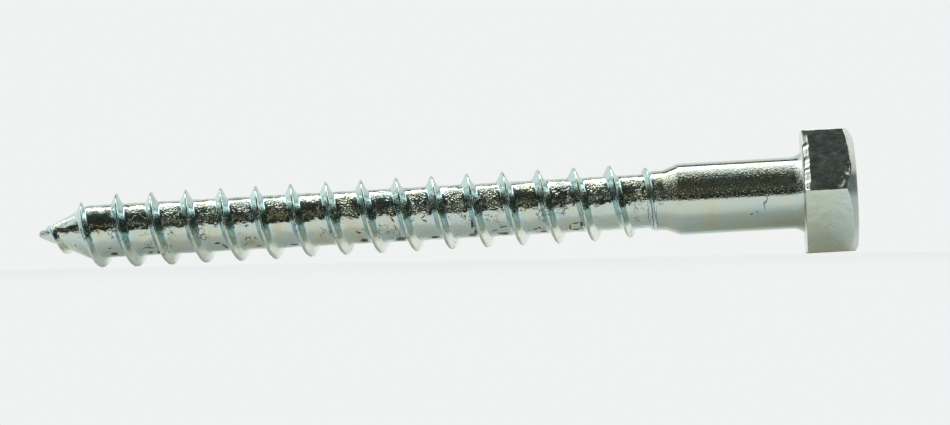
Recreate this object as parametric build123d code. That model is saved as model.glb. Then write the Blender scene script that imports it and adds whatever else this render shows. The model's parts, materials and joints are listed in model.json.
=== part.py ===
from build123d import *
import math
import os

# Head and shank, in millimetres, for a coach screw of nominal size 10 x 100
SHANK_LENGTH = 100.0
SHANK_DIAMETER = 9.2
HEX_ACROSS_FLATS = 15.65
HEAD_HEIGHT = 6.6
HEX_EDGE_RADIUS = 0.25
HEAD_TOP_DIAMETER = 14.0
HEAD_CHAMFER_ANGLE = 29.0

# The hexagon is trimmed off centre from the coned rim, which lies back and down from it
RIM_SHIFT_BACK = 0.6
RIM_SHIFT_DOWN = 0.25

# Hollow fillet under the head
FILLET_LENGTH = 1.5
FILLET_DIAMETER = 10.6
FILLET_HOLLOW = 0.16

# Neck that leads from the plain shank down to the core of the thread
NECK_START = 15.9
NECK_CONE_LENGTH = 2.0
NECK_DIAMETER = 7.7
LAND_LENGTH = 1.4
NECK_STEP_LENGTH = 0.6

# Wood thread, rolled as one right-hand ridge round a slimmer core
PITCH = 4.62
THREAD_DIAMETER = 9.75
CORE_DIAMETER = 7.0
CREST_WIDTH = 0.26
FLANK_ANGLE = 28.0

# Gimlet point, where the ridge grows out of a cone with a round nose
NOSE_RADIUS = 0.55
POINT_HALF_ANGLE = 25.0
POINT_CREST_LENGTH = 9.75
POINT_CREST_POWER = 1.88
POINT_DRIFT = 0.35
RIDGE_START = 1.0

# Run-out, where the ridge turns square to the axis and sinks to end just inside the neck
LAST_CREST_ON_TOP = 20.1
RUN_OUT_TURNS = 0.47
FADE_START_TURN = -1.0
FADE_TURNS = 1.95
FADE_SINK = 0.125
FADE_POWER = 1.2

# Ridge surfaces: points on each curve, and how far the foot is sunk in the core
POINTS_PER_TURN = 24
LEAST_RIDGE_HEIGHT = 0.2
BURIED_SHARE = 0.08

# Derived sizes; x runs along the axis, with 0 at the bearing face and the tip below 0
TOP_TURN_SHARE = 0.25
hex_apothem = HEX_ACROSS_FLATS / 2
hex_corner_radius = hex_apothem / math.cos(math.pi / 6)
shank_radius = SHANK_DIAMETER / 2
thread_radius = THREAD_DIAMETER / 2
core_radius = CORE_DIAMETER / 2
point_angle = math.radians(POINT_HALF_ANGLE)
tip_x = -SHANK_LENGTH
nose_x = tip_x + NOSE_RADIUS
nose_end = (nose_x - NOSE_RADIUS * math.sin(point_angle), NOSE_RADIUS * math.cos(point_angle))
point_end_x = nose_end[0] + (core_radius - nose_end[1]) / math.tan(point_angle)
neck_x = -NECK_START - NECK_CONE_LENGTH
land_x = neck_x - LAND_LENGTH
step_x = land_x - NECK_STEP_LENGTH
fade_drop = thread_radius - NECK_DIAMETER / 2 + FADE_SINK


def core_radius_at(x):
    """Radius of the body at the foot of the ridge."""
    return min(core_radius + math.tan(point_angle) * (x - point_end_x), core_radius)


def ridge_x(turn):
    """Place of the crest along the axis; turn 0 is the last time it is on top."""
    if turn < 0:
        even_x = -LAST_CREST_ON_TOP + PITCH * turn
        drift_share = max(1 - (even_x - tip_x) / POINT_CREST_LENGTH, 0)
        return even_x - POINT_DRIFT * drift_share
    eased = min(turn, RUN_OUT_TURNS)
    return -LAST_CREST_ON_TOP + PITCH * (eased - eased ** 2 / (2 * RUN_OUT_TURNS))


def crest_radius(turn):
    """Radius of the crest: it grows along the point and fades at the neck."""
    point_share = min((ridge_x(turn) - tip_x) / POINT_CREST_LENGTH, 1)
    fade_share = max((turn - FADE_START_TURN) / FADE_TURNS, 0)
    grown = thread_radius * (1 - (1 - point_share) ** POINT_CREST_POWER)
    return grown - fade_drop * fade_share ** FADE_POWER


def ridge_section(turn):
    """Corners of the ridge in the plane through the axis, as shift along it and radius."""
    crest = crest_radius(turn)
    rise = crest - core_radius_at(ridge_x(turn))
    height = (1 + BURIED_SHARE) * math.hypot(rise, LEAST_RIDGE_HEIGHT)
    crest_half = CREST_WIDTH / 2 * min(height / (thread_radius - core_radius), 1)
    foot_half = crest_half + height * math.tan(math.radians(FLANK_ANGLE))
    foot = crest - height
    return [(foot_half, foot), (crest_half, crest), (-crest_half, crest), (-foot_half, foot)]


def ridge_corners(turn):
    """The corners of the section, placed in space."""
    angle = 2 * math.pi * (turn + TOP_TURN_SHARE)
    across, up = math.cos(angle), math.sin(angle)
    return [(ridge_x(turn) + shift, r * across, r * up) for shift, r in ridge_section(turn)]


def ridge_strips(first, last):
    """Four ruled faces between two turns: both flanks, the crest and the sunk foot."""
    turns = [first + (last - first) * i / POINTS_PER_TURN for i in range(POINTS_PER_TURN + 1)]
    paths = zip(*[ridge_corners(turn) for turn in turns])
    curves = [Edge.make_spline(list(path), parameters=turns) for path in paths]
    return [Face.make_surface_from_curves(a, b) for a, b in zip(curves, curves[1:] + curves[:1])]


def ridge_end(turn):
    """Flat face that closes the ridge at one end, inside the body."""
    corners = ridge_corners(turn)
    sides = [Edge.make_line(a, b) for a, b in zip(corners, corners[1:] + corners[:1])]
    return Face(Wire(sides))


def make_ridge():
    """The whole ridge as one closed solid, laid in lengths of about a turn."""
    first = (tip_x + RIDGE_START + LAST_CREST_ON_TOP) / PITCH
    last = FADE_START_TURN + FADE_TURNS
    lengths = math.ceil(last - first)
    bounds = [first + (last - first) * i / lengths for i in range(lengths + 1)]
    faces = [ridge_end(first), ridge_end(last)]
    for start, stop in zip(bounds, bounds[1:]):
        faces += ridge_strips(start, stop)
    return Solid(Shell(Face.sew_faces(faces)[0]))


def make_body():
    """Point, core, neck, shank and fillet, turned about the axis."""
    fillet_start = (-FILLET_LENGTH, shank_radius)
    fillet_end = (0, FILLET_DIAMETER / 2)
    root_x = HEAD_HEIGHT / 2
    with BuildSketch(Plane.XY) as half:
        with BuildLine():
            CenterArc((nose_x, 0), NOSE_RADIUS, 180, POINT_HALF_ANGLE - 90)
            Polyline(
                nose_end,
                (point_end_x, core_radius),
                (step_x, core_radius),
                (land_x, NECK_DIAMETER / 2),
                (neck_x, NECK_DIAMETER / 2),
                (-NECK_START, shank_radius),
                fillet_start,
            )
            SagittaArc(fillet_start, fillet_end, -FILLET_HOLLOW)
            Polyline(fillet_end, (root_x, FILLET_DIAMETER / 2), (root_x, 0), (tip_x, 0))
        make_face()
    return revolve(half.sketch, Axis.X)


def make_head():
    """Hexagon with slightly rounded corners, cut by the cone of the rim."""
    prism = extrude(Plane.YZ * RegularPolygon(hex_apothem, 6, major_radius=False), HEAD_HEIGHT)
    prism = fillet(prism.edges().filter_by(Axis.X), HEX_EDGE_RADIUS)
    top_radius = HEAD_TOP_DIAMETER / 2
    blank_radius = hex_corner_radius + math.hypot(RIM_SHIFT_BACK, RIM_SHIFT_DOWN)
    rim_drop = (blank_radius - top_radius) * math.tan(math.radians(HEAD_CHAMFER_ANGLE))
    rim_start = (HEAD_HEIGHT - rim_drop, blank_radius)
    rim_end = (HEAD_HEIGHT, top_radius)
    half = Polyline((0, 0), (0, blank_radius), rim_start, rim_end, (HEAD_HEIGHT, 0), close=True)
    blank = revolve(make_face(half), Axis.X)
    return prism & Pos(0, RIM_SHIFT_BACK, -RIM_SHIFT_DOWN) * blank


def rest_angle():
    """Tilt of the axis on a table, where the head's edge and one crest touch it."""
    underside = [-0.5 - turn for turn in range(int(SHANK_LENGTH / PITCH))]
    on_screw = [turn for turn in underside if ridge_x(turn) > tip_x + RIDGE_START]
    slopes = [(hex_apothem - crest_radius(turn)) / -ridge_x(turn) for turn in on_screw]
    return math.degrees(math.atan(min(slopes)))


# The screw lies on one flat of its head and on its thread, tip towards -X
screw = make_body() + make_head() + make_ridge()
screw = Rot(Y=-rest_angle()) * screw
box = screw.bounding_box()
screw = Pos(-box.center().X, -box.center().Y, -box.min.Z) * screw

os.makedirs("parts", exist_ok=True)
export_step(screw.solids()[0], "parts/lag_screw.step")
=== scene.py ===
import json
import math

import bpy
import numpy as np
from mathutils import Matrix, Vector, noise


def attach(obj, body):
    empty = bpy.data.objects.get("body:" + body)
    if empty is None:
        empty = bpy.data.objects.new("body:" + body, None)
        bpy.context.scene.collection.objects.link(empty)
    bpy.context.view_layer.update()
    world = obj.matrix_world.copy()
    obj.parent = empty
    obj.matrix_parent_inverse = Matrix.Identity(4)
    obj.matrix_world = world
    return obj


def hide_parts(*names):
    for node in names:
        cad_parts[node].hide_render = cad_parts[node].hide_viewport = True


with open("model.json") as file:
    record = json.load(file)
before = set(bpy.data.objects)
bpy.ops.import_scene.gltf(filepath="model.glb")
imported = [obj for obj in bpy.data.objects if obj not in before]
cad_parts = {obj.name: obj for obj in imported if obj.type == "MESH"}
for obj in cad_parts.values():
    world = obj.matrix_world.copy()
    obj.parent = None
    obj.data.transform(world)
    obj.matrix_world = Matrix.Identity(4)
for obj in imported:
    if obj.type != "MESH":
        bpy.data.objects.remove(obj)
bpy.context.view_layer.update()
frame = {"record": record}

scene = bpy.context.scene
scene.view_settings.view_transform = "Standard"

# Sizes in millimetres, in the screw's own frame: x along its axis, 0 at the bearing face
MM = 0.001
SHANK_LENGTH = 100.0
SHANK_RADIUS = 4.6
HEAD_HEIGHT = 6.6
APOTHEM = 7.825
HEX_EDGE_RADIUS = 0.25
HEAD_TOP_RADIUS = 7.0
CHAMFER_SLOPE = math.tan(math.radians(29))
RIM_SHIFT_BACK = 0.6
RIM_SHIFT_DOWN = 0.25
FILLET_LENGTH = 1.5
FILLET_RADIUS = 5.3
FILLET_HOLLOW = 0.16
NECK_START = 15.9
NECK_END = 17.9
NECK_RADIUS = 3.85
LAND_END = 19.3
CORE_END = 19.9
PITCH = 4.62
CREST_RADIUS = 4.875
CORE_RADIUS = 3.5
FLANK_SLOPE = math.tan(math.radians(28))
NOSE_RADIUS = 0.55
POINT_ANGLE = math.radians(25)
POINT_CREST_LENGTH = 9.75
POINT_CREST_POWER = 1.88
POINT_DRIFT = 0.35
RIDGE_START = 1.0
LAST_CREST_ON_TOP = 20.1
RUN_OUT_TURNS = 0.47
FADE_START_TURN = -1.0
FADE_TURNS = 1.95
FADE_SINK = 0.125
FADE_POWER = 1.2

# What follows from those sizes
TIP = -SHANK_LENGTH
NOSE_X = TIP + NOSE_RADIUS
NOSE_END_X = NOSE_X - NOSE_RADIUS * math.sin(POINT_ANGLE)
NOSE_END_R = NOSE_RADIUS * math.cos(POINT_ANGLE)
POINT_END_X = NOSE_END_X + (CORE_RADIUS - NOSE_END_R) / math.tan(POINT_ANGLE)
FULL_RISE = CREST_RADIUS - CORE_RADIUS
FADE_DROP = CREST_RADIUS - NECK_RADIUS + FADE_SINK
FIRST_TURN = (TIP + RIDGE_START + LAST_CREST_ON_TOP) / PITCH
LAST_TURN = FADE_START_TURN + FADE_TURNS
TOP_TURN_SHARE = 0.25

# What rolling leaves on the thread: crests rounded off, hollow flanks and a soft root
CREST_HALF = 0.15
CREST_DROP = 0.085
FLANK_HOLLOW = 1.4
ROOT_BLEND = 0.12
LEAST_BLEND_SHARE = 0.1
NO_BLEND_RADIUS = 0.5
FULL_BLEND_RADIUS = 2.5
LEAST_RISE = 0.02

# Random waves: height (mm), scale per mm, seed. They swell and fade over a short run at both ends
ROOT_WAVES = [(0.07, 0.8, 5), (0.05, 2.0, 17)]
CREST_WAVES = [(0.12, 1.3, 41)]
WAVE_SINK = 0.02
WAVES_START = -99.6
WAVES_START_RUN = 1.5
WAVES_END = -18.0
WAVES_END_RUN = 2.0

# Laps, seams and pits of the rolled steel: place along the axis (mm), degrees above the front,
# half length and half width (mm), turn of the lap in the surface (degrees), depth (mm)
LAPS = [
    (-99.3, 18, 0.12, 0.12, 0, 0), (-94.7, -37, 0.16, 0.12, 0, 0), (-92.8, -13, 0.25, 0.07, 20, 0),
    (-90.05, -43, 0.2, 0.11, 0, 0), (-89.75, -64, 0.5, 0.42, 0, 0.1), (-89.5, -14.6, 0.12, 0.14, 0, 0.05),
    (-85.6, -46.5, 0.36, 0.09, 25, 0), (-84.8, -47, 0.6, 0.09, -8, 0), (-84.9, -66, 0.28, 0.28, 0, 0.06),
    (-83.8, -68, 0.35, 0.5, 0, 0.1), (-75.8, -44, 0.45, 0.12, 0, 0), (-75.0, -57, 0.6, 0.15, -62, 0.05),
    (-72.0, -36, 0.3, 0.07, 50, 0), (-71.5, -32, 0.25, 0.07, 0, 0), (-70.7, -36, 0.3, 0.07, -50, 0),
    (-70.5, -62, 0.5, 0.14, 0, 0.04), (-65.9, -64, 0.55, 0.15, -5, 0.05),
    (-60.97, -30.6, 0.25, 0.08, -35, 0), (-57.3, -36, 0.42, 0.1, -25, 0.03),
    (-56.8, -64, 0.55, 0.5, 10, 0.12), (-52.7, -11, 0.45, 0.08, -60, 0),
    (-52.4, -30, 0.5, 0.08, -75, 0), (-52.0, -68, 0.65, 0.6, 0, 0.12), (-48.75, -8.6, 0.3, 0.08, 20, 0),
    (-48.6, -17, 0.3, 0.08, -30, 0), (-47.5, -66, 0.6, 0.3, 0, 0.08), (-42.55, -31, 0.14, 0.75, 0, 0),
    (-42.2, -52, 0.16, 0.9, -8, 0.03), (-42.7, -66, 0.45, 0.4, 0, 0.1), (-39.7, -52, 0.5, 0.1, 25, 0),
    (-38.5, -43, 0.65, 0.1, 12, 0), (-39.4, -61, 0.3, 0.08, 0, 0), (-38.6, -67, 0.7, 0.35, 0, 0.08),
    (-34.4, -54, 0.35, 0.11, 35, 0), (-33.9, -51, 0.3, 0.11, -40, 0), (-33.4, -56, 0.25, 0.08, 35, 0),
    (-33.5, -67, 0.45, 0.25, 0, 0.04), (-30.0, -55, 0.12, 0.6, 0, 0), (-29.3, -42, 0.5, 0.13, 10, 0),
    (-28.5, -47, 0.14, 0.55, 0, 0), (-28.6, -60, 0.4, 0.11, -40, 0), (-29.3, -66, 0.6, 0.25, 0, 0.05),
    (-19.8, -36, 0.04, 1.9, 3, 0), (-19.3, -42, 0.045, 2.3, 2, 0), (-18.8, -46, 0.035, 2.0, 0, 0),
    (-6.86, -32, 0.16, 0.1, 0, 0), (-5.97, -28.7, 0.14, 0.09, 0, 0), (-5.1, -20, 0.35, 0.06, 100, 0),
    (-5.05, -14, 0.3, 0.06, 40, 0), (-4.8, -7, 0.38, 0.06, 70, 0),
]

# Their pits end at this square of the distance from the middle, counted in half sizes
PIT_REACH_SQUARED = 1.4

# Where the screw lies in the frame: the axis is that of the hexagon's mount at the head's end
drive = next(m for m in frame["record"]["mounts"] if m["name"] == "hexagon_drive")
axis = Vector(drive["axis"]).normalized()
seat = Vector(drive["pos_m"]) - axis * HEAD_HEIGHT * MM
sideways = Vector((0, 1, 0))
own_axes = Matrix((axis, sideways, axis.cross(sideways))).transposed().to_4x4()
own_to_row = Matrix.Translation(seat) @ own_axes

# Angles round the axis run from the back over the top to the front
COLUMNS = 96
ANGLES = np.arange(COLUMNS) * 2 * math.pi / COLUMNS


def body_radius(x):
    """Radius of the round body at x: nose, cone, core, neck, shank and fillet."""
    knots = [
        (NOSE_END_X, NOSE_END_R), (POINT_END_X, CORE_RADIUS), (-CORE_END, CORE_RADIUS),
        (-LAND_END, NECK_RADIUS), (-NECK_END, NECK_RADIUS), (-NECK_START, SHANK_RADIUS),
        (-FILLET_LENGTH, SHANK_RADIUS), (0, FILLET_RADIUS),
    ]
    r = np.interp(x, *zip(*knots))
    share = np.clip((x + FILLET_LENGTH) / FILLET_LENGTH, 0, 1)
    r = r - 4 * FILLET_HOLLOW * share * (1 - share)
    on_nose = np.sqrt(np.maximum(NOSE_RADIUS ** 2 - (x - NOSE_X) ** 2, 0))
    return np.where(x < NOSE_END_X, on_nose, r)


def ridge_x(turn):
    """Place of the crest along the axis; turn 0 is the last time it is on top."""
    eased = np.clip(turn, 0, RUN_OUT_TURNS)
    turned = np.where(turn < 0, turn, eased - eased ** 2 / (2 * RUN_OUT_TURNS))
    x = -LAST_CREST_ON_TOP + PITCH * turned
    return x - POINT_DRIFT * np.clip(1 - (x - TIP) / POINT_CREST_LENGTH, 0, None)


def crest_radius(turn):
    """Radius of the crest, growing along the point and fading at the neck."""
    share = np.clip((ridge_x(turn) - TIP) / POINT_CREST_LENGTH, 0, 1)
    fade = np.maximum((turn - FADE_START_TURN) / FADE_TURNS, 0)
    return CREST_RADIUS * (1 - (1 - share) ** POINT_CREST_POWER) - FADE_DROP * fade ** FADE_POWER


def placed(x, radius, angle):
    """Points in the screw's own frame from place, radius and angle."""
    return np.stack([x, radius * np.cos(angle), radius * np.sin(angle)], axis=-1)


def rough(points, scale, seed):
    """Smooth random values, about -0.5 to 0.5, at points given in millimetres."""
    flat = np.reshape(points, (-1, 3))
    values = [noise.noise(Vector(point) * scale + Vector((seed, 0, 0))) for point in flat]
    return np.reshape(values, np.shape(points)[:-1])


def waves(points, parts):
    """Sum of smooth random waves."""
    return sum(height * rough(points, scale, seed) for height, scale, seed in parts)


def lap_depth(x, angle):
    """How far the laps and pits go in; the angle above the front runs the other way than the mesh's."""
    above_front = (math.pi - angle + math.pi) % (2 * math.pi) - math.pi
    depth = np.zeros(np.shape(x))
    for place, degrees, half_length, half_width, turn, deep in LAPS:
        forth, round_it = x - place, (above_front - math.radians(degrees)) * CORE_RADIUS
        c, s = math.cos(math.radians(turn)), math.sin(math.radians(turn))
        u, v = (forth * c + round_it * s) / half_length, (round_it * c - forth * s) / half_width
        depth = np.maximum(depth, deep * np.clip(PIT_REACH_SQUARED - u ** 2 - v ** 2, 0, 1))
    return depth


# Stands for "no ridge near", as a distance in millimetres
FAR = 9.0


def screw_points(x, angle):
    """Points of the surface, their share of the ridge's height and their distance from its foot."""
    body = body_radius(x)
    best = np.full(np.shape(x), -FAR)
    gap = np.full(np.shape(x), FAR)
    for k in range(math.floor(FIRST_TURN) - 1, 2):
        turn = k + angle / (2 * math.pi) - TOP_TURN_SHARE
        there = (turn > FIRST_TURN) & (turn < LAST_TURN)
        crest = crest_radius(turn)
        rise = np.maximum(crest - body_radius(ridge_x(turn)), LEAST_RISE)
        size = np.clip(rise / FULL_RISE, 0, 1)
        half = CREST_HALF * size
        away = np.abs(x - ridge_x(turn))
        foot = half + rise * FLANK_SLOPE
        share = np.maximum((away - half) / (foot - half), 0)
        hollow = 1 - (1 - np.minimum(share, 1)) ** FLANK_HOLLOW + np.maximum(share - 1, 0)
        rounded = crest - CREST_DROP * np.minimum(away / half, 1) ** 2 * size
        gap = np.where(there, np.minimum(gap, away - foot), gap)
        best = np.where(there, np.maximum(best, np.minimum(crest - rise * hollow, rounded)), best)

    # A soft root, whose blend is smaller on the point
    blend_share = (body - NO_BLEND_RADIUS) / (FULL_BLEND_RADIUS - NO_BLEND_RADIUS)
    blend = ROOT_BLEND * np.clip(blend_share, LEAST_BLEND_SHARE, 1)
    near = np.clip(1 - np.abs(body - best) / blend, 0, 1)
    radius = np.maximum(body, best) + near ** 2 * blend / 4
    height = np.clip((radius - body) / FULL_RISE, 0, 1)

    # Waves, laps and worn crests, from the neck to just short of the tip
    spots = placed(x, radius, angle)
    before_end = np.clip((WAVES_END - x) / WAVES_END_RUN, 0, 1)
    on_thread = before_end * np.clip((x - WAVES_START) / WAVES_START_RUN, 0, 1)
    sunk = np.maximum(waves(spots, ROOT_WAVES) + WAVE_SINK, 0) * (1 - height) + lap_depth(x, angle)
    worn = height ** 2 * np.maximum(waves(spots, CREST_WAVES) + WAVE_SINK, 0)
    radius = radius - on_thread * sunk - on_thread * worn
    return placed(x, radius, angle), height, gap


vertices = []
faces = []
marks = []
MARK_NAMES = ("ridge_height", "foot_distance", "on_rim")


def add(points, height=0.0, foot=FAR, on_rim=0.0):
    """Adds points to the mesh, with the marks that the material reads, and returns their numbers."""
    first = len(vertices)
    vertices.extend(tuple(point) for point in points)
    marks.append(np.column_stack([np.full(len(points), mark) for mark in (height, foot, on_rim)]))
    return list(range(first, len(vertices)))


def add_ring(x):
    """One closed row of the screw at x."""
    return add(*screw_points(np.full(COLUMNS, float(x)), ANGLES))


def join_rings(low, high):
    for j in range(len(low)):
        n = (j + 1) % len(low)
        faces.append((low[j], low[n], high[n], high[j]))


# Rows across one pitch, as distance from the crest: close together on it, wider in the root
CREST_ROWS = [0.055, 0.1, 0.14]
FLANK_ROWS = [0.21, 0.29, 0.38, 0.47, 0.57, 0.68, 0.79, 0.9, 1.02, 1.15, 1.3, 1.47, 1.66, 1.87, 2.09]
half_rows = CREST_ROWS + FLANK_ROWS
offsets = np.array([-PITCH / 2] + [-d for d in reversed(half_rows)] + [0] + half_rows)
ROWS = len(offsets)

# The helical rows lie between these places, and keep this far from them
HELIX_START = -98.9
HELIX_END = -20.95
CLEARANCE = 0.03
POINT_STEP = 0.08
column_x = -LAST_CREST_ON_TOP + PITCH * (ANGLES / (2 * math.pi) - TOP_TURN_SHARE)
turn_range = range(math.floor(FIRST_TURN) - 2, 3)

# The point: rows round the nose, up to where the helical rows begin
NOSE_ROWS = 8
nose_turns = np.linspace(0, 1, NOSE_ROWS + 1)[1:]
nose_xs = [NOSE_X - NOSE_RADIUS * math.cos(share * (math.pi / 2 - POINT_ANGLE)) for share in nose_turns]
point_xs = list(np.arange(nose_xs[-1] + POINT_STEP, HELIX_START - POINT_STEP / 2, POINT_STEP))
tip_point = add([(TIP, 0, 0)])[0]
rings = [add_ring(x) for x in nose_xs + point_xs + [HELIX_START]]
for j in range(COLUMNS):
    faces.append((tip_point, rings[0][(j + 1) % COLUMNS], rings[0][j]))
for low, high in zip(rings, rings[1:]):
    join_rings(low, high)
start_ring = rings[-1]

# The thread: rows that follow the helix, column by column
columns = []
for j in range(COLUMNS):
    row_xs = {}
    for k in turn_range:
        for i, offset in enumerate(offsets):
            x = column_x[j] + PITCH * k + offset
            if HELIX_START + CLEARANCE < x < HELIX_END - CLEARANCE:
                row_xs[k * ROWS + i] = x
    xs = np.array(list(row_xs.values()))
    numbers = add(*screw_points(xs, np.full(len(xs), ANGLES[j])))
    columns.append(dict(zip(row_xs, numbers)))

# The neck, shank and fillet: closed rows, close together where the ridge runs out. A span is
# given as its start, end and step.
RUN_OUT_SPAN = (HELIX_END, -18.6, 0.07)
NECK_SPAN = (-18.5, -16.0, 0.3)
NECK_EDGE_STEP = 0.08
SHANK_SPAN = (-15.5, -FILLET_LENGTH, 0.45)
FILLET_ROWS = 12
LAST_ROW_X = -0.02
neck_xs = list(np.arange(*RUN_OUT_SPAN)) + list(np.arange(*NECK_SPAN))
neck_xs += [-NECK_START - NECK_EDGE_STEP, -NECK_START, -NECK_START + NECK_EDGE_STEP]
neck_xs += list(np.arange(*SHANK_SPAN)) + list(np.linspace(-FILLET_LENGTH, LAST_ROW_X, FILLET_ROWS))
rings = [add_ring(x) for x in neck_xs]
end_ring, neck_ring = rings[0], rings[-1]
for low, high in zip(rings, rings[1:]):
    join_rings(low, high)

# The helical rows are joined to each other, and to the closed rows at both ends
for j in range(COLUMNS):
    n = (j + 1) % COLUMNS
    here = columns[j]
    there = columns[n] if n else {key - ROWS: number for key, number in columns[0].items()}
    common = sorted(set(here) & set(there))
    for a, b in zip(common, common[1:]):
        faces.append((here[a], there[a], there[b], here[b]))
    low, high = common[0], common[-1]
    extra = sorted(key for key in there if key <= low)
    faces.append((start_ring[j], start_ring[n], there[extra[0]], here[low]))
    for a, b in zip(extra, extra[1:]):
        faces.append((here[low], there[a], there[b]))
    extra = sorted(key for key in here if key >= high)
    faces.append((here[extra[-1]], there[high], end_ring[n], end_ring[j]))
    for a, b in zip(extra, extra[1:]):
        faces.append((here[a], there[high], here[b]))

# The head: its columns crowd towards the six corners, at shares of the rounded edge's angle
SECTOR = math.pi / 3
HEAD_SHARE = 3
HEAD_COLUMNS = COLUMNS * HEAD_SHARE
CORNER_SHARES = (0, 0.4, 0.75, 1, 1.5)
INNER_SHARE = 2.4
corner_x = (APOTHEM - HEX_EDGE_RADIUS) / math.cos(SECTOR / 2)
rounding = math.atan2(HEX_EDGE_RADIUS / 2, corner_x + HEX_EDGE_RADIUS * math.cos(SECTOR / 2))
near_corner = [rounding * share for share in CORNER_SHARES]
inner_start = rounding * INNER_SHARE
inner_count = HEAD_COLUMNS // 6 - 2 * len(near_corner) + 1
inner = list(np.linspace(inner_start, SECTOR - inner_start, inner_count))
sector_angles = near_corner + inner + [SECTOR - a for a in reversed(near_corner[1:])]
HEAD_ANGLES = np.array([a + k * SECTOR for k in range(6) for a in sector_angles])


def from_corner(angle):
    """Angle between a direction and the hexagon's nearest corner."""
    return np.abs((angle + SECTOR / 2) % SECTOR - SECTOR / 2)


def hexagon(angle):
    """Radius of the rounded hexagon in a direction."""
    off = from_corner(angle)
    flat = APOTHEM / np.cos(SECTOR / 2 - off)
    beside = np.sqrt(np.maximum(HEX_EDGE_RADIUS ** 2 - (corner_x * np.sin(off)) ** 2, 0))
    return np.where(off < rounding, corner_x * np.cos(off) + beside, flat)


def off_rim_centre(radius, angle):
    """Distance from the axis of the coned rim, which is off the hexagon's own."""
    across, up = radius * np.cos(angle) - RIM_SHIFT_BACK, radius * np.sin(angle) + RIM_SHIFT_DOWN
    return np.hypot(across, up)


def end_radius(angle):
    """Radius of the end face's edge in a direction."""
    toward = RIM_SHIFT_BACK * np.cos(angle) - RIM_SHIFT_DOWN * np.sin(angle)
    off_sq = RIM_SHIFT_BACK ** 2 + RIM_SHIFT_DOWN ** 2
    return toward + np.sqrt(HEAD_TOP_RADIUS ** 2 - off_sq + toward ** 2)


# The sides stay this far inside the true hexagon, and their edges are eased by EDGE
SKIN = 0.003
EDGE = 0.12
outline = hexagon(HEAD_ANGLES) - SKIN
LEAST_RIM = 0.05
end_edge = np.minimum(end_radius(HEAD_ANGLES), outline - LEAST_RIM)

# The rim starts where the cone meets the sides, a little lower where it is worn; the waves of
# its wear are read round a circle
RIM_WEAR = 0.06
MEAN_RIM_WEAR = 0.3
RIM_WAVES = [(1, 0.5, 7), (0.3, 1.6, 19)]
WAVE_CIRCLE_RADIUS = 3
LEAST_CONE = 0.03
along_edge = placed(np.zeros(HEAD_COLUMNS), WAVE_CIRCLE_RADIUS, HEAD_ANGLES)
cone_width = np.maximum(off_rim_centre(outline, HEAD_ANGLES) - HEAD_TOP_RADIUS, LEAST_CONE)
rim_x = HEAD_HEIGHT - cone_width * CHAMFER_SLOPE
rim_x = rim_x - RIM_WEAR * np.maximum(MEAN_RIM_WEAR + waves(along_edge, RIM_WAVES), 0)

# The shear cut leaves a torn bevel beside the shank, on the flat that faces up and forward
BEVEL_SLOPE = 0.8
BEVEL_WIDTH = 0.78
BEVEL_WAVES = [(0.15, 0.9, 3), (0.12, 2.6, 9), (0.12, 4.3, 29)]
TORN_PLACE = 0.5
TORN_WAVES = [(0.09, 2.4, 11), (0.05, 4.5, 23)]
LIP_PLACE = 0.97
LIP_WAVES = [(0.1, 0.6, 13)]
LIP_DEPTH = 0.06
LIP_HALF_WIDTH = 0.1
MOST_BURR = 0.7
BURR_FLAT = math.radians(150)
BURR_FLAT_HALF = math.radians(29.5)
BURR_FALL_OFF = 0.15
from_burr_flat = np.abs(HEAD_ANGLES - BURR_FLAT) / BURR_FLAT_HALF
on_burr_flat = np.clip(1 - from_burr_flat, 0, 1) ** BURR_FALL_OFF

# Worn corner edges, and nicks beside the rim: degrees above the near corner, place and depth (mm)
EDGE_WEAR = 0.05
MEAN_EDGE_WEAR = 0.5
WEAR_WAVES = [(1.2, 0.8, 31)]
WEAR_ANGLE = 0.03
NICKS = [(5, 4.4, 0.2), (8.5, 4.65, 0.22), (16, 5.4, 0.24), (20, 5.55, 0.3), (24, 5.6, 0.18)]
NICK_ANGLE = 0.045
NICK_LENGTH = 0.3


def side_row(x, eased=0.0):
    """A row round the sides of the head at x, drawn in by the burr, the wear and the nicks."""
    x = np.full(HEAD_COLUMNS, x)
    spots = placed(x, outline, HEAD_ANGLES)
    flat_spots = spots * (0, 1, 1)
    bevel = BEVEL_WIDTH + waves(flat_spots, BEVEL_WAVES)
    lip = LIP_PLACE + waves(flat_spots, LIP_WAVES)
    cut = BEVEL_SLOPE * np.maximum(bevel - x, 0)
    torn = np.clip(1 - np.abs(x - TORN_PLACE) / TORN_PLACE, 0, 1) * waves(spots, TORN_WAVES)
    groove = LIP_DEPTH * np.clip(1 - np.abs(x - lip) / LIP_HALF_WIDTH, 0, 1)
    burr = np.clip(cut + torn + groove, 0, MOST_BURR) * on_burr_flat
    by_corner = np.exp(-(from_corner(HEAD_ANGLES) / WEAR_ANGLE) ** 2)
    worn = EDGE_WEAR * np.maximum(MEAN_EDGE_WEAR + waves(spots, WEAR_WAVES), 0) * by_corner
    dent = 0.0
    for above, place, deep in NICKS:
        off = (HEAD_ANGLES - math.radians(180 - above)) / NICK_ANGLE
        dent = dent + deep * np.exp(-off ** 2 - ((x - place) / NICK_LENGTH) ** 2)
    return x, outline - eased - worn - burr - dent, HEAD_ANGLES


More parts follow.
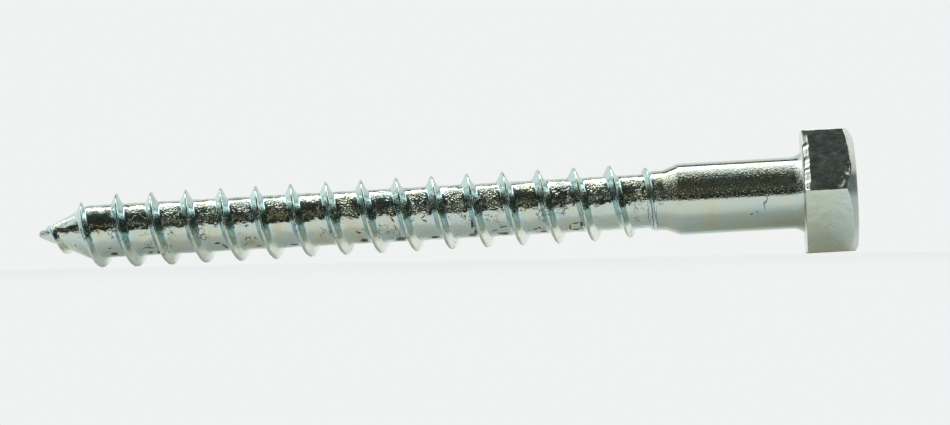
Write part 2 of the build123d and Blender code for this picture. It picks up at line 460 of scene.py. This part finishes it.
# Rows of the head, as place, radius and angle: underside, sides, rim and end face. They lie at
# these shares of the way across each part; the first row of the end face is a little lower.
UNDERSIDE_SHARES = (0.12, 0.35, 0.6, 0.85)
SIDE_SHARES = (0.12, 0.26, 0.4, 0.54, 0.62, 0.7, 0.76, 0.82, 0.87, 0.92, 0.96, 1.0)
RIM_SHARES = (0.08, 0.3, 0.5, 0.7, 0.92)
END_SHARES = (0.02, 0.06, 0.15, 0.3, 0.45, 0.6, 0.75, 0.9)
END_DROPS = (0.004, 0, 0, 0, 0, 0, 0, 0)
BEVEL_SPAN = (0.2, 1.75, 0.1)
shank_columns = np.repeat(ANGLES, HEAD_SHARE)
shank_columns = shank_columns + np.tile(np.arange(HEAD_SHARE), COLUMNS) * (ANGLES[1] / HEAD_SHARE)
side_rows = []
for share in UNDERSIDE_SHARES:
    angle = shank_columns + share * (HEAD_ANGLES - shank_columns)
    radius = FILLET_RADIUS + share * (hexagon(angle) - EDGE - FILLET_RADIUS)
    side_rows.append((np.zeros(HEAD_COLUMNS), radius, angle))
side_rows += [side_row(0, EDGE), side_row(0.3 * EDGE, 0.3 * EDGE)]
side_xs = [EDGE] + list(np.arange(*BEVEL_SPAN))
side_rows += [side_row(x) for x in side_xs]
for share in SIDE_SHARES:
    side_rows.append(side_row(side_xs[-1] + share * (rim_x - EDGE - side_xs[-1])))
side_rows.append(side_row(rim_x - 0.25 * EDGE, 0.1 * EDGE))
rim_rows = [
    (rim_x + share * (HEAD_HEIGHT - rim_x), outline + share * (end_edge - outline), HEAD_ANGLES)
    for share in RIM_SHARES
]
end_rows = [
    (np.full(HEAD_COLUMNS, HEAD_HEIGHT - drop), end_edge * (1 - share), HEAD_ANGLES)
    for share, drop in zip(END_SHARES, END_DROPS)
]
rings = [add(placed(*row)) for row in side_rows]
rings += [add(placed(*row), on_rim=1.0) for row in rim_rows]
rings += [add(placed(*row)) for row in end_rows]
for j in range(COLUMNS):
    n = (j + 1) % COLUMNS
    outer = [rings[0][(j * HEAD_SHARE + i) % HEAD_COLUMNS] for i in range(HEAD_SHARE + 1)]
    faces.append((neck_ring[j], outer[1], outer[0]))
    faces.append((neck_ring[j], neck_ring[n], outer[2], outer[1]))
    faces.append((neck_ring[n], outer[3], outer[2]))
for low, high in zip(rings, rings[1:]):
    join_rings(low, high)
end_point = add([(HEAD_HEIGHT, 0, 0)])[0]
for j in range(HEAD_COLUMNS):
    faces.append((rings[-1][j], rings[-1][(j + 1) % HEAD_COLUMNS], end_point))

mesh = bpy.data.meshes.new("lag_screw_body")
mesh.from_pydata([tuple(c * MM for c in v) for v in vertices], [], faces)
mesh.transform(own_to_row)
for name, values in zip(MARK_NAMES, np.concatenate(marks).astype(np.float32).T):
    attribute = mesh.attributes.new(name, "FLOAT", "POINT")
    attribute.data.foreach_set("value", np.ascontiguousarray(values))
mesh.shade_smooth()
screw = bpy.data.objects.new("lag_screw_body", mesh)
scene.collection.objects.link(screw)

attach(screw, "root")
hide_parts("lag_screw")


def start_tree(owner):
    """Empties the node tree of a material or world; the helpers below then work in it."""
    global new, link
    owner.use_nodes = True
    owner.node_tree.nodes.clear()
    new, link = owner.node_tree.nodes.new, owner.node_tree.links.new


def put(socket, value):
    """Sets a socket to a value, or links another node's output to it."""
    if isinstance(value, bpy.types.NodeSocket):
        link(value, socket)
    else:
        socket.default_value = value


def math_node(kind, a, b=0):
    node = new("ShaderNodeMath")
    node.operation = kind
    put(node.inputs[0], a)
    put(node.inputs[1], b)
    return node.outputs["Value"]


def vector_node(kind, *values, output="Vector"):
    node = new("ShaderNodeVectorMath")
    node.operation = kind
    for socket, value in zip(node.inputs, values):
        put(socket, value)
    return node.outputs[output]


def product(*factors):
    result = factors[0]
    for factor in factors[1:]:
        result = math_node("MULTIPLY", result, factor)
    return result


def inverse(value):
    return math_node("SUBTRACT", 1, value)


def value_ramp(source, low, high, to_low=0.0, to_high=1.0):
    """Runs from to_low where the source is at low, to to_high where it is at high."""
    node = new("ShaderNodeMapRange")
    for name, value in (("From Min", low), ("From Max", high), ("To Min", to_low), ("To Max", to_high)):
        node.inputs[name].default_value = value
    link(source, node.inputs["Value"])
    return node.outputs["Result"]


def colour_ramp(source, stops):
    node = new("ShaderNodeValToRGB")
    link(source, node.inputs["Fac"])
    elements = node.color_ramp.elements
    while len(elements) < len(stops):
        elements.new(0.5)
    for element, (position, colour) in zip(elements, stops):
        element.position = position
        element.color = (*colour, 1)
    return node.outputs["Color"]


def colour_mix(factor, a, b):
    node = new("ShaderNodeMix")
    node.data_type = "RGBA"
    put(node.inputs["Factor"], factor)
    for socket, value in ((node.inputs["A"], a), (node.inputs["B"], b)):
        put(socket, (*value, 1) if isinstance(value, tuple) else value)
    return node.outputs["Result"]


def separate(vector):
    node = new("ShaderNodeSeparateXYZ")
    link(vector, node.inputs["Vector"])
    return node.outputs["X"], node.outputs["Y"], node.outputs["Z"]


def attribute_node(name):
    node = new("ShaderNodeAttribute")
    node.attribute_name = name
    return node.outputs["Fac"]


def noise_node(scale, detail=2.0, roughness=0.5, stretch=(1, 1, 1)):
    """Noise in the screw's own frame, with its scale per metre."""
    mapping = new("ShaderNodeMapping")
    mapping.inputs["Scale"].default_value = stretch
    link(own_place, mapping.inputs["Vector"])
    node = new("ShaderNodeTexNoise")
    node.inputs["Scale"].default_value = scale
    node.inputs["Detail"].default_value = detail
    node.inputs["Roughness"].default_value = roughness
    link(mapping.outputs["Vector"], node.inputs["Vector"])
    return node.outputs["Fac"]


def along(low, high):
    """0 below one place along the axis and 1 above another, in millimetres."""
    return value_ramp(own_x, low * MM, high * MM)


def height_ramp(low, high):
    """0 at one height above the axis and 1 at another, in millimetres."""
    return value_ramp(own_z, low * MM, high * MM)


def bump(height, distance, strength, normal=None):
    """Bump with its distance in millimetres, on top of another one where that is given."""
    node = new("ShaderNodeBump")
    node.inputs["Distance"].default_value = distance * MM
    link(height, node.inputs["Height"])
    put(node.inputs["Strength"], strength)
    if normal:
        link(normal, node.inputs["Normal"])
    return node.outputs["Normal"]


# Zinc plate, in the screw's own frame
steel = bpy.data.materials.new("zinc_plate")
start_tree(steel)
out = new("ShaderNodeOutputMaterial")
shader = new("ShaderNodeBsdfPrincipled")
link(shader.outputs["BSDF"], out.inputs["Surface"])
shader.inputs["Metallic"].default_value = 1.0
coords = new("ShaderNodeTexCoord")
own = new("ShaderNodeMapping")
own.vector_type = "TEXTURE"
own.inputs["Location"].default_value = own_to_row.to_translation()
own.inputs["Rotation"].default_value = own_to_row.to_euler()
link(coords.outputs["Object"], own.inputs["Vector"])
own_place = own.outputs["Vector"]
own_x, own_y, own_z = separate(own_place)

# Masks, 0 to 1: parts of the thread by the mesh's marks, and parts of the screw by place
ridge_height = attribute_node("ridge_height")
foot_distance = attribute_node("foot_distance")
in_root = value_ramp(ridge_height, 0.12, 0.04)
near_foot = product(value_ramp(foot_distance, 0.45, 0.05), in_root)
mid_root = product(value_ramp(foot_distance, 0.1, 0.45), in_root)
on_flank = product(value_ramp(ridge_height, 0.03, 0.12), value_ramp(ridge_height, 0.99, 0.9))
on_thread = inverse(along(-21, -17))
on_cone = inverse(along(-94.5, -92.5))
on_nub = inverse(along(-98.9, -98.2))
on_shank = product(along(-21, -17), inverse(along(-0.8, 0.2)))
on_head = along(-0.3, 0.2)

# Sine of the angle above the axis, and the band above it where the plate is worn and crinkled
flat_place = new("ShaderNodeCombineXYZ")
link(own_y, flat_place.inputs["Y"])
link(own_z, flat_place.inputs["Z"])
upness = math_node("DIVIDE", own_z, vector_node("LENGTH", flat_place.outputs["Vector"], output="Value"))
worn_band = product(value_ramp(upness, -0.05, 0.22), value_ramp(upness, 0.84, 0.7))

# The laps, in a flat map of the surface in millimetres: along the axis, and round it from the
# front. Noise makes their lines wander, and each is darkest in the middle 60 per cent.
LAP_REACH = 1.15
LAP_SOFT_SHARE = 0.4
WANDER_SCALE = 1.6
WANDER = 0.45
above_front = math_node("ARCTAN2", own_z, math_node("MULTIPLY", own_y, -1))
surface_map = new("ShaderNodeCombineXYZ")
link(math_node("DIVIDE", own_x, MM), surface_map.inputs["X"])
link(math_node("MULTIPLY", above_front, CORE_RADIUS), surface_map.inputs["Y"])
wander = new("ShaderNodeTexNoise")
wander.inputs["Scale"].default_value = WANDER_SCALE
wander.inputs["Detail"].default_value = 1.0
link(surface_map.outputs["Vector"], wander.inputs["Vector"])
centred = vector_node("SUBTRACT", wander.outputs["Color"], (0.5, 0.5, 0.5))
moved = vector_node("MULTIPLY_ADD", centred, (WANDER, WANDER, 0), surface_map.outputs["Vector"])
lapped = None
for place, degrees, half_length, half_width, turn, _ in LAPS:
    lap_frame = new("ShaderNodeMapping")
    lap_frame.vector_type = "TEXTURE"
    lap_frame.inputs["Location"].default_value = (place, math.radians(degrees) * CORE_RADIUS, 0)
    lap_frame.inputs["Rotation"].default_value = (0, 0, math.radians(turn))
    lap_frame.inputs["Scale"].default_value = (LAP_REACH * half_length, LAP_REACH * half_width, 1)
    link(moved, lap_frame.inputs["Vector"])
    nearness = new("ShaderNodeTexGradient")
    nearness.gradient_type = "SPHERICAL"
    link(lap_frame.outputs["Vector"], nearness.inputs["Vector"])
    in_lap = value_ramp(nearness.outputs["Fac"], 0, LAP_SOFT_SHARE)
    lapped = in_lap if lapped is None else math_node("MAXIMUM", lapped, in_lap)

# Fine winding cracks, in patches, on the rolled part
winding = math_node("ABSOLUTE", math_node("SUBTRACT", noise_node(1500, 2.5, 0.6, (1, 0.8, 0.8)), 0.5))
crack_patch = value_ramp(noise_node(520, 1), 0.56, 0.66)
cracks = product(value_ramp(winding, 0.022, 0.006), crack_patch, on_thread, inverse(on_cone))

# Colour: blue to yellow zinc, bluer at the foot of the ridge, dark in cracks, and a painted reflection on
# the flanks
tint = colour_ramp(noise_node(300), [
    (0.3, (0.56, 0.66, 0.64)), (0.47, (0.6, 0.67, 0.59)),
    (0.6, (0.64, 0.67, 0.53)), (0.72, (0.6, 0.59, 0.47)),
])
tint = colour_mix(product(near_foot, 0.7), tint, (0.58, 0.72, 0.76))
# Painted reflection on the flanks: teal stands for light bounced between them, and the lower flanks turn
# near white for a bright floor below
flank_painted_reflection = colour_mix(value_ramp(upness, -0.3, -0.7), (0.43, 0.63, 0.66), (0.95, 0.97, 0.9))
tint = colour_mix(product(on_flank, 0.75), tint, flank_painted_reflection)
tint = colour_mix(product(cracks, 0.8), tint, (0.06, 0.06, 0.05))
tint = colour_mix(product(lapped, value_ramp(on_shank, 0, 1, 0.93, 0.6)), tint, (0.025, 0.027, 0.025))

# The head: yellower near the shank, bluer towards the end, paler above the near corner. Its lowest edge
# is lightened and yellowed, a painted reflection of a bright floor where the shadowed floor is reflected.
head_tone_and_painted_light = colour_mix(along(1.5, 5.0), (0.62, 0.67, 0.53), (0.58, 0.7, 0.66))
head_tone_and_painted_light = colour_mix(height_ramp(-0.1, 0.1), head_tone_and_painted_light, (0.8, 0.87, 0.84))
# Painted reflection: the lowest edge is lightened and yellowed in place of the shadowed floor that it
# reflects
head_tone_and_painted_light = colour_mix(height_ramp(-6.2, -7.7), head_tone_and_painted_light, (0.92, 0.86, 0.6))
tint = colour_mix(product(on_head, 0.7), tint, head_tone_and_painted_light)

# The coned rim's colour runs by height: a dark band just above the near corner is a painted reflection of
# something dark on the horizon, darker grey below it, paler at the bottom edge and at the top
rim_greys_and_painted_reflection = colour_ramp(height_ramp(-8, 8), [
    (0.06, (0.62, 0.66, 0.62)), (0.2, (0.4, 0.46, 0.42)), (0.43, (0.34, 0.42, 0.39)),
    (0.49, (0.1, 0.12, 0.12)), (0.6, (0.08, 0.1, 0.1)), (0.65, (0.5, 0.53, 0.5)),
    (0.8, (0.72, 0.75, 0.7)),
])
tint = colour_mix(value_ramp(attribute_node("on_rim"), 0.2, 0.8), tint, rim_greys_and_painted_reflection)

# The torn bevel is bright; toward_burr is the distance from the axis towards its flat
toward_front = math_node("MULTIPLY", own_y, -math.cos(math.pi / 6))
toward_burr = math_node("ADD", toward_front, math_node("MULTIPLY", own_z, 0.5))
on_burr = product(
    value_ramp(toward_burr, 6.2 * MM, 6.7 * MM), height_ramp(0, 0.2),
    along(-0.02, 0.02), inverse(along(0.85, 1.0)),
)
tint = colour_mix(product(on_burr, 0.9), tint, (0.92, 0.95, 0.86))
link(tint, shader.inputs["Base Color"])

plain_rough = value_ramp(noise_node(2600, 3), 0.35, 0.65, 0.045, 0.11)
head_rough = value_ramp(noise_node(800, 3, 0.6), 0.35, 0.65, 0.13, 0.3)
roughness = math_node("ADD", product(plain_rough, inverse(on_head)), product(head_rough, on_head))
link(roughness, shader.inputs["Roughness"])

# Crinkles of the plate in the roots, in patches: worms and finer specks, calmer towards the point
FLECK_STRETCH = (1.1, 0.75, 0.9)
calm_end = value_ramp(own_x, -90 * MM, -72 * MM, 0.25, 1)
patches = product(value_ramp(noise_node(480, 1), 0.35, 0.6, 0.3, 1), calm_end)
crinkled = product(
    on_thread, patches, mid_root,
    value_ramp(on_cone, 0, 1, 1, 0.1), value_ramp(worn_band, 0, 1, 0.12, 1),
)
worms = value_ramp(noise_node(4000, 0.0, stretch=FLECK_STRETCH), 0.45, 0.75)
normal = bump(worms, 0.09, crinkled)
specks = value_ramp(noise_node(6400, 0.0, stretch=FLECK_STRETCH), 0.5, 0.8)
normal = bump(specks, 0.035, crinkled, normal)
normal = bump(inverse(cracks), 0.06, 0.8, normal)
normal = bump(inverse(lapped), 0.08, 0.8, normal)

# Soft unevenness everywhere, fine grain on shank, tip and thread, and clouds on the head
normal = bump(noise_node(700), 0.12, value_ramp(on_shank, 0, 1, 0.3, 0.1), normal)
shank_grain = product(on_shank, value_ramp(worn_band, 0, 1, 0.05, 0.75))
thread_grain = math_node("ADD", product(on_thread, 0.12), 0.06)
grained = math_node("ADD", math_node("ADD", shank_grain, on_nub), thread_grain)
normal = bump(noise_node(5600, 1, 0.6), 0.1, grained, normal)
clouded = product(on_head, 0.7, value_ramp(on_burr, 0, 1, 1, 0.25))
normal = bump(noise_node(900, 3, 0.6), 0.18, clouded, normal)
link(normal, shader.inputs["Normal"])
screw.data.materials.append(steel)

# Floor: pale paper with the screw's shadow. Far from the screw it fades into the backdrop's colour, and
# to the camera it is half faded already. To the metal the paper glows faintly under the thread, and a
# little in front of the screw it shows as near black, a painted dark reflection, while the camera still
# sees pale paper there. Places in metres.
PALE = (0.865, 0.89, 0.88)
PAPER = (0.9, 0.92, 0.91)
REFLECTED_DARK_FRONT = (0.03, 0.03, 0.026)
FLOOR_SIZE = 6
HALF_FADED = 0.5
THREAD_GLOW = 0.22
bpy.ops.mesh.primitive_plane_add(size=FLOOR_SIZE, location=(0, 0, 0))
floor = bpy.context.object
floor.name = "floor"
paper = bpy.data.materials.new("floor_paper")
start_tree(paper)
out = new("ShaderNodeOutputMaterial")
diffuse = new("ShaderNodeBsdfDiffuse")
diffuse.inputs["Color"].default_value = (*PAPER, 1)
glow = new("ShaderNodeEmission")
floor_coords = new("ShaderNodeTexCoord")
floor_x, floor_y, _ = separate(floor_coords.outputs["Object"])
far = value_ramp(vector_node("LENGTH", floor_coords.outputs["Object"], output="Value"), 0.06, 0.3)
rays = new("ShaderNodeLightPath")
to_camera, to_metal = rays.outputs["Is Camera Ray"], rays.outputs["Is Glossy Ray"]
paled = math_node("MAXIMUM", far, product(to_camera, HALF_FADED))
faded = product(paled, math_node("MAXIMUM", to_camera, to_metal))
under_thread = product(value_ramp(floor_x, 0.035, 0.022), THREAD_GLOW, to_metal)
# Painted dark reflection: to the metal alone the floor turns near black in front of the screw
dark_front_in_reflection = product(value_ramp(floor_y, -0.06, -0.09), to_metal)
link(colour_mix(dark_front_in_reflection, PALE, REFLECTED_DARK_FRONT), glow.inputs["Color"])
mix = new("ShaderNodeMixShader")
link(math_node("MAXIMUM", math_node("MAXIMUM", faded, dark_front_in_reflection), under_thread), mix.inputs["Fac"])
link(diffuse.outputs["BSDF"], mix.inputs[1])
link(glow.outputs["Emission"], mix.inputs[2])
link(mix.outputs["Shader"], out.inputs["Surface"])
floor.data.materials.append(paper)

# World: pale to the camera and an even fill to what is dull. The metal sees a room, as colours
# by the turn from the front horizon (0) over the top (0.5) to the horizon behind (1): dark in
# front with one warm strip, pale behind with one dark line.
FILL = (0.7, 0.71, 0.71)
LEFT_WINDOW = (0.95, 1.0, 0.98)
world = bpy.data.worlds.new("studio")
scene.world = world
start_tree(world)
out = new("ShaderNodeOutputWorld")
background = new("ShaderNodeBackground")
link(background.outputs["Background"], out.inputs["Surface"])
world_coords = new("ShaderNodeTexCoord")
world_x, world_y, world_z = separate(world_coords.outputs["Generated"])
front = math_node("MULTIPLY", world_y, -1)
turned = math_node("DIVIDE", math_node("ARCTAN2", world_z, front), math.pi)
room = colour_ramp(turned, [
    (0.0, (0.03, 0.028, 0.022)),
    (0.05, (0.028, 0.026, 0.02)),
    (0.122, (0.028, 0.026, 0.022)),
    (0.135, (0.42, 0.43, 0.28)),
    (0.146, (0.42, 0.43, 0.28)),
    (0.158, (0.028, 0.028, 0.024)),
    (0.24, (0.02, 0.023, 0.021)),
    (0.33, (0.034, 0.04, 0.037)),
    (0.4, (0.06, 0.072, 0.068)),
    (0.46, (0.11, 0.13, 0.12)),
    (0.51, (0.26, 0.29, 0.27)),
    (0.57, (0.78, 0.83, 0.8)),
    (0.685, (1.0, 1.0, 1.0)),
    (0.695, (0.6, 0.65, 0.62)),
    (0.703, (0.01, 0.025, 0.025)),
    (0.752, (0.01, 0.025, 0.025)),
    (0.762, (0.75, 0.8, 0.77)),
    (1.0, (0.84, 0.87, 0.85)),
])

# A window high on the left, which reaches further round behind the screw
left = product(value_ramp(world_x, -0.73, -0.78), value_ramp(world_z, 0.44, 0.54))
left_behind = product(value_ramp(world_x, -0.4, -0.5), value_ramp(front, 0.05, -0.05))
room = colour_mix(math_node("MAXIMUM", left, left_behind), room, LEFT_WINDOW)
rays = new("ShaderNodeLightPath")
unseen = colour_mix(rays.outputs["Is Glossy Ray"], FILL, room)
link(colour_mix(rays.outputs["Is Camera Ray"], unseen, PALE), background.inputs["Color"])

# The softbox hangs over the screw and a little behind it; places in metres
SOFTBOX_HEIGHT = 0.6
SOFTBOX_LENGTH = 1.4
SOFTBOX_RADIANCE = 2.0
SOFTBOX_NEAR_ANGLE = 13
SOFTBOX_FAR_ANGLE = 32
near_y = SOFTBOX_HEIGHT * math.tan(math.radians(SOFTBOX_NEAR_ANGLE))
far_y = SOFTBOX_HEIGHT * math.tan(math.radians(SOFTBOX_FAR_ANGLE))
lamp = bpy.data.lights.new("softbox", "AREA")
lamp.shape = "RECTANGLE"
lamp.size = SOFTBOX_LENGTH
lamp.size_y = far_y - near_y
lamp.energy = SOFTBOX_RADIANCE * math.pi * lamp.size * lamp.size_y
softbox = bpy.data.objects.new("softbox", lamp)
softbox.location = (0, (far_y + near_y) / 2, SOFTBOX_HEIGHT)
scene.collection.objects.link(softbox)

# Camera, found from the crests, the tip and the head in the photograph; place in the screw's
# own frame, in millimetres
FOCAL_PIXELS = 2630.86
FRAME_WIDTH = 950
SENSOR_WIDTH = 36
CAMERA_PLACE = (-11.524, -339.606, -7.060)
yaw, pitch, roll = math.radians(-5.184), math.radians(1.145), math.radians(-3.066)
forward = Vector((math.sin(yaw) * math.cos(pitch), math.cos(yaw) * math.cos(pitch), math.sin(pitch)))
level = Vector((math.cos(yaw), -math.sin(yaw), 0))
upward = level.cross(forward)
right = level * math.cos(roll) + upward * math.sin(roll)
up = upward * math.cos(roll) - level * math.sin(roll)
camera_axes = Matrix((right, up, -forward)).transposed().to_4x4()
camera_data = bpy.data.cameras.new("camera")
camera_data.sensor_width = SENSOR_WIDTH
camera_data.lens = SENSOR_WIDTH * FOCAL_PIXELS / FRAME_WIDTH
camera_data.clip_start = 0.01
camera = bpy.data.objects.new("camera", camera_data)
camera.matrix_world = own_to_row @ (Matrix.Translation(Vector(CAMERA_PLACE) * MM) @ camera_axes)
scene.collection.objects.link(camera)
scene.camera = camera
